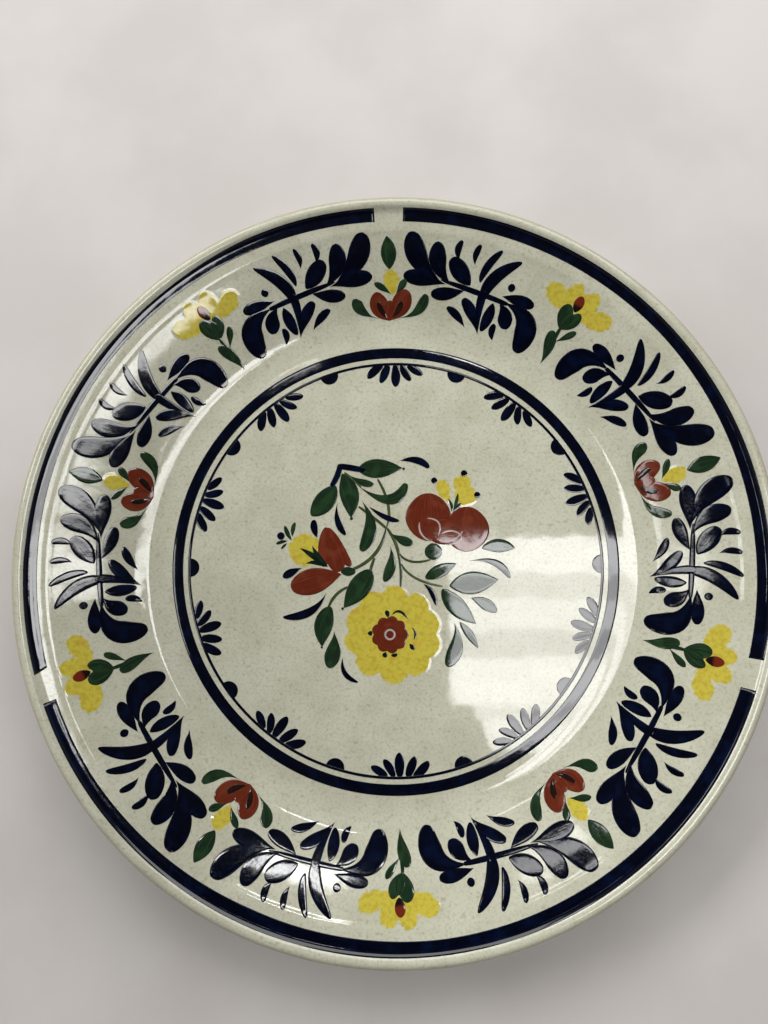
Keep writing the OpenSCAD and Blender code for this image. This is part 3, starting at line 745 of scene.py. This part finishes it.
# %% Tulip strokes
flower_r = 106
tulip_places = [(90.2, -0.4, 1), (163.1, 0.1, 0), (235, 0.5, -1.5), (306.1, -0.3, 1.7), (17.1, 0.1, -1.3)]
tulip_heart = [
    ((-1.6, -13.2), (-5.4, -8.6), (-5.6, -3.4), 7, (0.6, 0.8, 0.45)),
    ((-2.6, -13.2), (2, -8.4), (4.2, -2.6), 7.2, (0.62, 0.8, 0.45)),
    ((-1.9, -13), (-1.7, -9.6), (-1.5, -6.2), 5, OVAL),
]
tulip_vein = [
    ((-6, -6.6), (-4.9, -9.6), (-2.7, -12.3), 2, (0.4, 0.45, 0.9)),
    ((2.7, -6.6), (1.5, -9.4), (-1, -12), 2.2, (0.4, 0.45, 0.9)),
]
tulip_bud = [((-0.4, -4.3), (-1.1, -0.2), (-0.6, 3.9), 5.7, (0.6, 0.5, 0.4))]
tulip_sepal = [
    ((-1, -4.3), (-4, -2.1), (-7.4, -0.4), 2.3, DROP),
    ((0.6, -4), (2.6, -1.7), (4.5, 0.6), 2.6, DROP),
]
tulip_leaf = [
    ((-1.6, 4.2), (-1.8, 9.5), (-2.3, 15), 5.7, LEAF),
    ((-5.9, -12.3), (-12.2, -9.6), (-14.6, -5.5), 4.2, (0.72, 0.9, 0.4)),
    ((1.5, -12.2), (8.6, -10), (11.9, -4.5), 3.8, (0.72, 0.9, 0.4)),
]
tulips = painted(tulip_places, flower_r)

# %% Five tulips
sponged("tulip_buds", "yellow_paint", strokes(tulip_bud), tulips)
brushed("tulip_petals", brick, "brick_paint", strokes(tulip_heart), 0.07, spots=tulips)
brushed("tulip_veins", brown, "brown_paint", strokes(tulip_vein), 0.11, spots=tulips)
brushed("tulip_leaves", green, "green_paint", strokes(tulip_sepal, tulip_leaf), 0.11, spots=tulips)

# %% [markdown]
# ## Fan flowers
# Five yellow flowers open outwards like a fan, from a green calyx on a short stem with one leaf and
# one bract. The heart between the petals is a single dab of brown.

# %% Fan flower strokes
fan_places = [(53.4, 0.2, 2.7), (126.4, -0.4, -0.7), (198.6, 0.3, -1), (269.7, -0.2, -0.8), (342, 0, -0.3)]
fan_petal = [
    ((-3, 5.8), (-9.5, 8.6), (-15.3, 9.9), 7, PETAL),
    ((-2.6, 5.5), (-4.6, 10.5), (-5, 16), 7, PETAL),
    ((-1.4, 5.5), (0.9, 10.5), (1.6, 16), 6.8, PETAL),
    ((0, 5.6), (5.9, 8), (12.1, 9.9), 6.4, (0.66, 0.6, 0.5)),
]
fan_heart = [((-1.7, 7.2), (-2.1, 10), (-2.5, 12.8), 3.7, (0.55, 0.55, 0.5))]
fan_calyx = [
    ((-3, 0.1), (-4.2, 4.6), (-4.2, 8.6), 5.2, PETAL),
    ((-3, 0.1), (-0.6, 3.7), (0.5, 7.7), 4.2, PETAL),
    ((-3, 0.3), (-2.2, 3.5), (-1.8, 6.6), 4, PETAL),
]
fan_leaf = [
    ((-2.8, 0.5), (-2.7, -2), (-2.2, -4.8), 1.3, ROD),
    ((-1.9, -4.4), (0.8, -0.9), (2.9, 2), 2.4, DROP),
    ((-1.8, -13.1), (-2.6, -7.2), (-5, -1.6), 4.2, (0.7, 0.7, 0.4)),
]
fans = painted(fan_places, flower_r)

# %% Five fan flowers
sponged("fan_flower_petals", "yellow_paint", strokes(fan_petal), fans)
brushed("fan_flower_hearts", dipped, "brown_paint", strokes(fan_heart), 0.07, spots=fans)
brushed("fan_flower_leaves", green, "green_paint", strokes(fan_calyx, fan_leaf), 0.1, spots=fans)

# %% [markdown]
# ## The bouquet
# The well holds one bouquet, painted once and so never repeated. Its thin olive stems went on first,
# then the leaves, and last the small blue commas and dots that fill the gaps.

# %% Stems, leaves and blue strokes
stem = [
    ((-16.5, -1.8), (-7.6, 4), (-3.2, 14), 1.3, ROD),
    ((-3.3, 13), (-2.6, 22), (-6.6, 32), 1.1, ROD),
    ((-3.4, 14), (1.2, 4.4), (1.9, -8), 1.2, ROD),
    ((-3.4, 13.6), (-7.6, 17.2), (-13.6, 21.7), 1.1, ROD),
    ((-7.6, 2.6), (-8.8, -0.6), (-9.4, -3.6), 1.1, ROD),
    ((-17.4, -8), (-22, -11.2), (-24.6, -16), 1.1, ROD),
    ((1.4, 4.2), (6, 1.3), (13, 2), 0.9, ROD),
    ((2, 0.6), (7.5, -4.8), (17.4, -7.8), 0.9, ROD),
    ((-19, 34.4), (-15.8, 32), (-12.6, 28.8), 0.9, ROD),
]
greenery = [
    ((-14, 35.6), (-6.3, 36), (2.9, 36.1), 7.2, (0.46, 0.75, 0.95)),
    ((-22.3, 29.6), (-26.3, 23.6), (-31.2, 18.4), 7.5, (0.5, 0.6, 0.6)),
    ((-19.8, 34), (-17.1, 26.6), (-16.4, 17.6), 7.1, LEAF),
    ((-17.3, 33.6), (-12.6, 30.9), (-8, 30), 2.7, DROP),
    ((-14, 29.6), (-2.4, 24.3), (4, 30.4), 4.2, (0.66, 0.85, 0.35)),
    ((-12.6, 24), (-9.2, 14.8), (-12.7, 5.2), 4.9, (0.68, 0.8, 0.4)),
    ((-1.8, 11.8), (2.3, 9.3), (6.5, 8), 3.5, DROP),
    ((-1.9, 7), (-1.5, 0.4), (-4.2, -6), 3.9, DROP),
    ((-9, -1.8), (-13.3, -8.3), (-18.9, -15.6), 8, (0.47, 0.55, 0.9)),
    ((-20, -2.1), (-17.4, -2.3), (-14.6, -2.2), 3.3, OVAL),
    ((-23.6, -15.2), (-26.2, -21.6), (-26.7, -29.6), 6.8, (0.48, 0.6, 0.9)),
    ((-22.4, -23.8), (-22.5, -30.6), (-24.3, -37.2), 5.7, DROP),
    ((22.5, 0.6), (16.5, -2), (11, -4.8), 4.7, (0.55, 0.75, 0.6)),
    ((19.8, -7.6), (28, -6.5), (37.7, -5.3), 8.3, (0.5, 0.75, 0.9)),
    ((17.2, -8.8), (22.4, -15.1), (29.4, -21.3), 6.7, (0.48, 0.65, 0.9)),
    ((27.6, -12), (32.4, -13.9), (37, -17.1), 4.3, (0.6, 0.75, 0.6)),
    ((21, -20), (22.3, -28.2), (18.6, -36.6), 5.4, (0.7, 0.9, 0.45)),
    ((23.4, -20.8), (26.8, -25), (30, -30.1), 3, LEAF),
    ((31.8, 6.2), (38, 7.2), (44, 6.2), 5, LEAF),
    ((10.8, 4.7), (14, 5), (17.2, 5.3), 6.2, OVAL),
]
blue_stroke = [
    ((-21.2, 36.9), (-17, 36.3), (-11, 35.2), 2.3, ROD),
    ((-20.6, 37.6), (-21.5, 33.5), (-23.8, 29.2), 2.2, ROD),
    ((-21.4, 23.3), (-21.4, 16.6), (-18.3, 11.1), 2.4, DROP),
    ((-30, 16.7), (-30, 13.6), (-28.8, 10.2), 2.6, COMMA),
    ((-34.2, -0.9), (-37.9, -2.5), (-41.3, -4.5), 3, DROP),
    ((-25.4, -10.2), (-31.3, -17), (-41.1, -19), 3.1, (0.62, 0.9, 0.5)),
    ((-19.2, -33.8), (-18.3, -39.2), (-13.6, -42.3), 1.8, PETAL),
    ((-9.6, 21.6), (-3.8, 17.8), (1.5, 16.4), 2, PETAL),
    ((2, 38.9), (8.2, 39), (12.6, 36.1), 2.7, (0.6, 0.6, 0.4)),
    ((26.5, 1.4), (36.3, 1), (41.9, -4.7), 2.7, DROP),
    ((10.4, -7), (13.4, -10), (14.9, -14.7), 2.1, PETAL),
]
blue_dots = [dot(-42.3, 10.8, 1.4), dot(14.5, 31.4, 1.15), dot(25.6, 34.1, 1.2), dot(30.4, 26, 1.15)]
leaf_tips = [dot(3.2, 35.8, 0.5), dot(-16.2, 17.2, 0.6), dot(-19.3, -15.9, 0.5), dot(-26.8, -29.9, 0.4)]
brushed("bouquet_stems", olive, "olive_paint", strokes(stem), 0.08)
brushed("bouquet_leaves", green, "green_paint", strokes(greenery, leaf_tips), 0.12)
brushed("bouquet_blue_strokes", cobalt, "navy_paint", strokes(blue_stroke, blue_dots), 0.16)

# %% [markdown]
# The bloom on the left is a red flower seen from the side, with a yellow puff behind it and three
# dark stamens between its petals.

# %% Left bloom
left_petal = [
    ((-16.3, -0.4), (-21.4, 6.5), (-25, 13.8), 4.7, (0.55, 0.35, 0.5)),
    ((-26.4, -0.6), (-26, 6), (-25.6, 14), 5, (0.55, 0.35, 0.5)),
    ((-20.5, -2.4), (-22.6, 4.5), (-25, 13), 7.4, (0.5, 0.35, 0.5)),
    ((-19.8, -3.3), (-28.6, -5.4), (-38.3, -8.3), 9.6, (0.62, 0.65, 0.45)),
]
left_stamen = [
    ((-25.2, -0.3), (-30, 3.2), (-35.4, 6.4), 2.2, (0.45, 0.8, 1)),
    ((-25, -0.5), (-28.3, 3), (-30.7, 7.2), 2, (0.45, 0.8, 1)),
    ((-24.8, -0.6), (-29, 0.9), (-32.9, 0.6), 1.7, (0.45, 0.8, 1)),
]
left_sprig = [
    ((-38.2, 9.1), (-39.8, 11.6), (-40.9, 14.6), 1.6, PETAL),
    ((-38.1, 10.5), (-37.9, 13.2), (-37.1, 15.8), 1.6, PETAL),
    ((-39.9, 8.9), (-41.9, 8.6), (-44, 7.8), 1.3, PETAL),
    ((-40, 8), (-41, 7.2), (-42.1, 5.9), 0.9, PETAL),
]
sponged("left_bloom_centre", "yellow_paint", strokes([dot(-33.3, 5.6, 6.1)]))
brushed("left_bloom_petals", brick, "brick_paint", strokes(left_petal), 0.07)
brushed("left_bloom_stamens", black_green, "black_green_paint", strokes(left_stamen), 0.11)
brushed("left_bloom_sprigs", green, "green_paint", strokes(left_sprig), 0.1)

# %% [markdown]
# The bloom on the right is two fat red lobes with raised scrolls drawn on them, and three yellow buds. The
# scrolls are dark lines, and their pale grey is a painted highlight.

# %% Right bloom
right_petal = [
    ((12, 8.9), (12.2, 17.7), (12, 26.7), 16.8, OVAL),
    ((26.2, 4.9), (26.4, 13.1), (27, 21.6), 16.6, OVAL),
    ((11, 13), (18, 12.8), (25, 13), 10.5, OVAL),
]
right_swirl = [
    ((11.9, 17.3), (16.1, 15.5), (15.8, 10.8), 0.7, SCROLL),
    ((9, 15.8), (9.5, 11.7), (12.8, 8.9), 0.7, SCROLL),
    ((17.3, 11.7), (20.5, 12.6), (23.8, 11.5), 0.7, SCROLL),
    ((24.2, 11.2), (23.6, 9), (19.3, 7.5), 0.7, SCROLL),
]
right_bud = [
    ((19.8, 23.6), (18.1, 27.6), (16.9, 31.7), 5.1, PETAL),
    ((24.8, 27), (24.9, 30.3), (24.8, 33.6), 6.6, OVAL),
    ((22.2, 27.8), (26.2, 26.2), (30.4, 25.6), 7.4, OVAL),
    ((23.6, 22.4), (25.8, 24.4), (28, 26), 4.6, OVAL),
]
right_sprig = [
    ((20.8, 19.8), (20.8, 22.2), (19.7, 24.5), 1, LEAF),
    ((21.6, 19.8), (22.6, 23.2), (23.3, 26.7), 1.3, LEAF),
    ((21.4, 19.8), (22.9, 21.5), (24.7, 22.9), 1.5, LEAF),
]
sponged("right_bloom_buds", "yellow_paint", strokes(right_bud))
brushed("right_bloom_petals", brick, "brick_paint", strokes(right_petal), 0.07)
brushed("right_bloom_swirls", raised_line_painted_highlight, "grey_line_paint", strokes(right_swirl), 0.1)
brushed("right_bloom_sprigs", green, "green_paint", strokes(right_sprig), 0.12)

# %% [markdown]
# The round bloom below is a sponged yellow disc with ten lobes, round a scalloped red heart with a thin
# raised ring in its middle, a dark line coloured pale grey as a painted highlight. Small dark stamens stick
# out of the heart.

# %% Round bloom
bloom_c = (-1, -25.3)
lobe_angles = [88, 124, 157, 190, 230, 272, 310, 345, 377, 410]
heart_c = (-2, -25.3)
scallops = 9
stamen = [
    ((-2.6, -19.2), (-2.8, -17.9), (-3.6, -16.6), 1.7, PETAL),
    ((-1.4, -18.4), (1.4, -16.9), (4.6, -19.6), 1, PETAL),
    ((6, -22.8), (7.3, -24.8), (6.7, -27), 1, PETAL),
    ((5.1, -28.4), (5.8, -29.4), (7, -30.5), 1.7, DROP),
    ((-1.5, -32.5), (-0.4, -32.7), (0.8, -32.2), 1.3, OVAL),
    ((-3.4, -31.3), (-3.7, -32.3), (-4.2, -33.4), 1.9, DROP),
    ((-8.4, -24.8), (-9.2, -24.8), (-10.3, -24.8), 1.7, (0.4, 0.5, 1)),
]


def ringed(centre, angles, radius, size):
    """Dots set round a centre."""
    turns = [math.radians(angle) for angle in angles]
    return [dot(centre[0] + radius * math.cos(a), centre[1] + radius * math.sin(a), size) for a in turns]


def scalloped_disc(centre, radius, bulge, count):
    """A whole disc whose edge bulges in scallops."""
    def sheet(t, side):
        turn = 2 * np.pi * t
        edge_r = radius + bulge * np.abs(np.cos(count * turn / 2))
        r = edge_r * (side + 1) / 2
        spot = np.column_stack((centre[0] + r * np.cos(turn), centre[1] + r * np.sin(turn)))
        return spot, edge_r - r, radius * turn / 2, r

    return sheet


lobes = [dot(*bloom_c, 13.4)] + ringed(bloom_c, lobe_angles, 12.5, 5.3)
heart = scalloped_disc(heart_c, 5.9, 0.9, scallops)
heart_ring = swept_band(1.7, 0.7, 0, 360, centre=heart_c)
sponged("round_bloom_petals", "yellow_paint", strokes(lobes))
brushed("round_bloom_centre", brick, "brick_paint", [heart], 0.07, along=144, across=14)
brushed("round_bloom_ring", raised_line_painted_highlight, "grey_line_paint", [heart_ring], 0.1, along=60, across=4)
brushed("round_bloom_stamens", black_green, "black_green_paint", strokes(stamen), 0.13)

# %% [markdown]
# ## The setting
# The plate lies on a plain pale table. A glossy glaze is judged by what it mirrors, so the light is
# planned as a studio would: the middle of the ceiling is left dark, so that the navy stays deep, and
# the room is bright low down, with two broad lamps behind the plate. A curtained window overhead on
# the right lays the wide sheen on the well. Three small panels overhead catch the border.

# %% The table
def staged(bm, name, finish):
    """Makes a mesh in metres into a piece of the setting, which isn't part of the plate."""
    mesh = bpy.data.meshes.new(name)
    bm.to_mesh(mesh)
    bm.free()
    mesh.materials.append(finish)
    prop = bpy.data.objects.new(name, mesh)
    bpy.context.collection.objects.link(prop)
    return prop


table_finish, tree, shader = new_finish("pale_table_laminate")
place = add(tree, "TexCoord", {}).outputs["Object"]
scuff = add(tree, "TexNoise", {"Vector": place, "Scale": per_mm(60), "Detail": 4.0}).outputs["Fac"]
tone = mixed(tree, between(tree, scuff, 0.35, 0.65), srgb("#cdc8c4"), srgb("#c6c0bc"))
tree.links.new(tone, shader.inputs["Base Color"])
tree.links.new(between(tree, scuff, 0.3, 0.7, 0.4, 0.5), shader.inputs["Roughness"])
bm = bmesh.new()
bmesh.ops.create_grid(bm, x_segments=4, y_segments=4, size=1.5)
staged(bm, "table_top", table_finish)

# %% The room: dark overhead and bright low down
world = bpy.data.worlds.new("room")
bpy.context.scene.world = world
world.use_nodes = True
tree = world.node_tree
towards = add(tree, "TexCoord", {}).outputs["Generated"]
height = add(tree, "SeparateXYZ", {"Vector": towards}).outputs["Z"]
glow = between(tree, height, 0.86, 0.5, 0.04, 0.3)
room = tree.nodes["Background"]
room.inputs["Color"].default_value = srgb("#f4f2f0")
tree.links.new(glow, room.inputs["Strength"])


# %% Lights
def soft_box(name, place, aim, size, radiance, spin=0.0):
    """A rectangular area light that faces a point. spin turns it in its own plane, in degrees."""
    data = bpy.data.lights.new(name, "AREA")
    data.shape = "RECTANGLE"
    data.size, data.size_y = size
    data.energy = radiance * math.pi * size[0] * size[1]
    lamp = bpy.data.objects.new(name, data)
    facing = (Vector(aim) - Vector(place)).to_track_quat("-Z", "Y").to_matrix()
    turn = facing @ Matrix.Rotation(math.radians(spin), 3, "Z")
    lamp.matrix_world = Matrix.Translation(place) @ turn.to_4x4()
    bpy.context.collection.objects.link(lamp)


# The curtain's folds: each strip is its two edges across the window, its left end, and its brightness.
window_z = 1.5
window_right = 0.59
folds = [
    (0.04, 0.122, 0.1, 11), (-0.017, 0.04, 0.1, 6.5), (-0.09, -0.017, 0.1, 10), (-0.15, -0.09, 0.11, 6),
    (-0.255, -0.15, 0.13, 11), (-0.29, -0.255, 0.18, 7), (-0.35, -0.29, 0.21, 10),
]
for i, (near, far, left, radiance) in enumerate(folds):
    spot = ((left + window_right) / 2, (near + far) / 2, window_z)
    under_it = (spot[0], spot[1], 0)
    soft_box(f"window_fold_{i + 1}", spot, under_it, (window_right - left, far - near), radiance)
soft_box("panel_left", (0.165, 0.592, 1.5), (0.165, 0.592, 0), (0.17, 0.032), 24, spin=-24)
soft_box("panel_right", (-0.25, 0.535, 1.5), (-0.25, 0.535, 0), (0.13, 0.06), 7, spin=26)
soft_box("wall_left", (-0.59, -0.03, 1.5), (-0.59, -0.03, 0), (0.1, 0.3), 7)
soft_box("low_left", (-2.0, 1.7, 1.8), (0, 0, 0), (2.9, 0.8), 8)
soft_box("low_far", (0.2, 1.1, 0.9), (0, 0, 0), (1.2, 0.8), 3.6)
print("lights:", len(bpy.data.lights))

# %% [markdown]
# ## The camera
# A wide lens hangs about 30 cm above the plate, tipped by a few degrees. The camera's own dark
# body keeps part of the window out of the glaze, so a black card stands in for it, just behind the
# lens. The colours were chosen as they look, so the plain view transform shows them unchanged.

# %% Camera and its shade
camera_data = bpy.data.cameras.new("camera")
camera_data.lens = 27.07
camera_data.sensor_width = 36
camera = bpy.data.objects.new("camera", camera_data)
bpy.context.collection.objects.link(camera)
tip = Matrix.Rotation(math.radians(-6.19), 4, "X") @ Matrix.Rotation(math.radians(-0.58), 4, "Y")
camera.matrix_world = Matrix.Translation((-0.00129, -0.01113, 0.29065)) @ tip.transposed()
bpy.context.scene.camera = camera
bpy.context.scene.view_settings.view_transform = "Standard"

black_card, tree, shader = new_finish("black_card")
place = add(tree, "TexCoord", {}).outputs["Object"]
fibre = add(tree, "TexNoise", {"Vector": place, "Scale": per_mm(2)}).outputs["Fac"]
tree.links.new(mixed(tree, fibre, srgb("#0c0c0c"), srgb("#161616")), shader.inputs["Base Color"])
card_size = (0.081, 0.16)
card_place = (0.0005, -0.07, 0.294)
bm = bmesh.new()
bmesh.ops.create_grid(bm, x_segments=2, y_segments=2, size=0.5)
bmesh.ops.scale(bm, vec=(*card_size, 1), verts=bm.verts)
bmesh.ops.translate(bm, vec=card_place, verts=bm.verts)
staged(bm, "camera_shade", black_card).visible_camera = False
